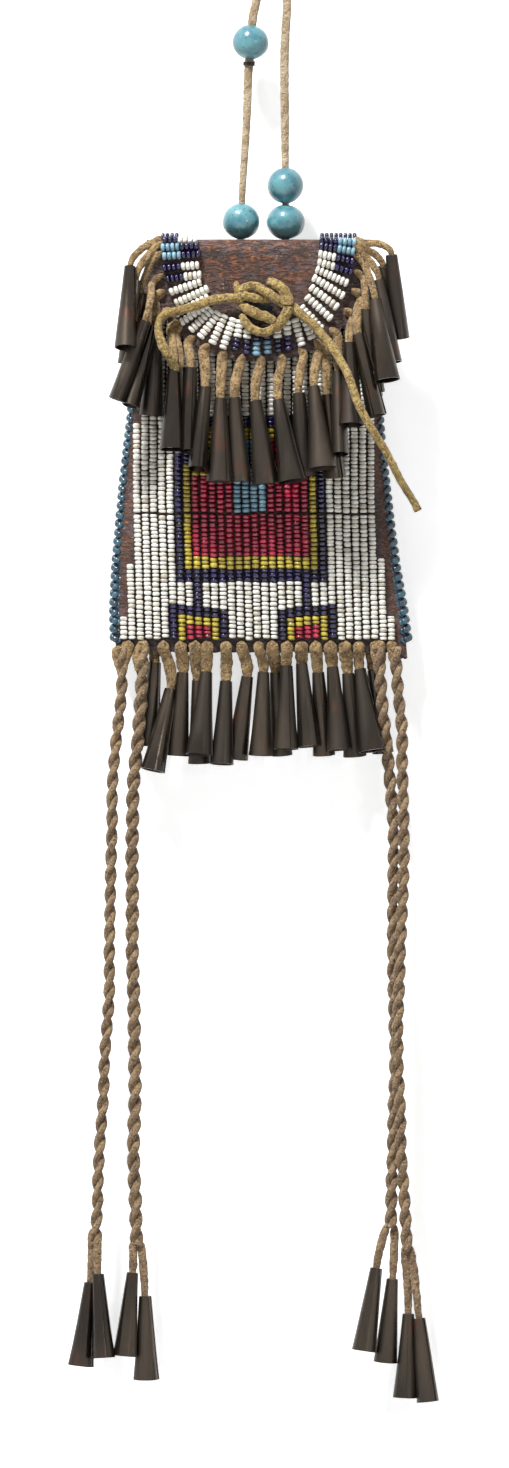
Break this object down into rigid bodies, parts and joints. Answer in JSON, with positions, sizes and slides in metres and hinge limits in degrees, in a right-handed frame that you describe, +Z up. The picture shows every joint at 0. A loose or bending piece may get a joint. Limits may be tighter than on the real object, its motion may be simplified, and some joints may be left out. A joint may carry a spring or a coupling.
{
  "type": "strike-a-light pouch",
  "caption": "Flat hide pouch with a beaded front, a flap fringed with metal cones, long twisted thongs ending in cones, a tie thong and a hanging strap with glass beads.",
  "frame": {"origin": "inner crown of the strap loop, where the strap lies on what it hangs from", "axes": "+Z up along the strap, +Y out of the pouch's plain back, -Y out of its beaded front, +X to the right as seen from the front"},
  "size_m": [0.0995, 0.032, 0.3842],
  "materials": {
    "hide": "worn, cracked dark brown hide, matt, with rust flakes at the flap's top",
    "thong": "soft tan hide thong, matt",
    "tie": "yellow-tan suede thong",
    "tin": "rolled tin sheet, dark brown-grey patina, semi-gloss",
    "glass": "opaque turquoise glass, satin, dark specks",
    "beads_white": "cream seed beads, glossy",
    "beads_navy": "navy seed beads, glossy",
    "beads_yellow": "yellow seed beads, glossy",
    "beads_red": "translucent red seed beads, glossy",
    "beads_blue": "light blue seed beads, glossy",
    "beads_teal": "dark teal edge beads, glossy"
  },
  "bodies": {
    "pouch": {"back_panel": "hide", "front_panel": "hide", "top_fold": "hide", "beads_white_field": "beads_white", "beads_white_base": "beads_white", "beads_navy_frame": "beads_navy", "beads_yellow_border": "beads_yellow", "beads_red_field": "beads_red", "beads_blue_stripe": "beads_blue", "beads_yellow_arch_left": "beads_yellow", "beads_yellow_arch_right": "beads_yellow", "beads_red_block_left": "beads_red", "beads_red_block_right": "beads_red", "edge_beads_left": "beads_teal", "edge_beads_right": "beads_teal", "strap_thong": "thong", "glass_bead_1": "glass", "glass_bead_2": "glass", "glass_bead_3": "glass", "glass_bead_4": "glass", "strap_wrap": "hide", "bottom_cone_01": "tin", "bottom_cone_02": "tin", "bottom_cone_03": "tin", "bottom_cone_04": "tin", "bottom_cone_05": "tin", "bottom_cone_06": "tin", "bottom_cone_07": "tin", "bottom_cone_08": "tin", "bottom_cone_09": "tin", "bottom_cone_10": "tin", "bottom_cone_11": "tin", "bottom_cone_12": "tin", "bottom_cone_13": "tin", "bottom_cone_14": "tin", "bottom_cone_15": "tin", "bottom_cone_16": "tin", "twisted_thong_1": "thong", "twisted_thong_2": "thong", "twisted_thong_3": "thong", "twisted_thong_4": "thong", "tassel_cone_1": "tin", "tassel_cone_2": "tin", "tassel_cone_3": "tin", "tassel_cone_4": "tin", "tassel_cone_5": "tin", "tassel_cone_6": "tin", "tassel_cone_7": "tin", "tassel_cone_8": "tin"},
    "flap": {"flap": "hide", "flap_beadwork": "beads_white", "tie_knot": "tie", "tie_branch": "tie", "tie_tail": "tie"}
  },
  "joints": [
    {"name": "flap_hinge", "type": "hinge", "parent": "pouch", "child": "flap", "pos_m": [-0.0038, -0.0062, -0.0686], "axis": [-1, 0, 0], "range_deg": [0, 120]}
  ]
}
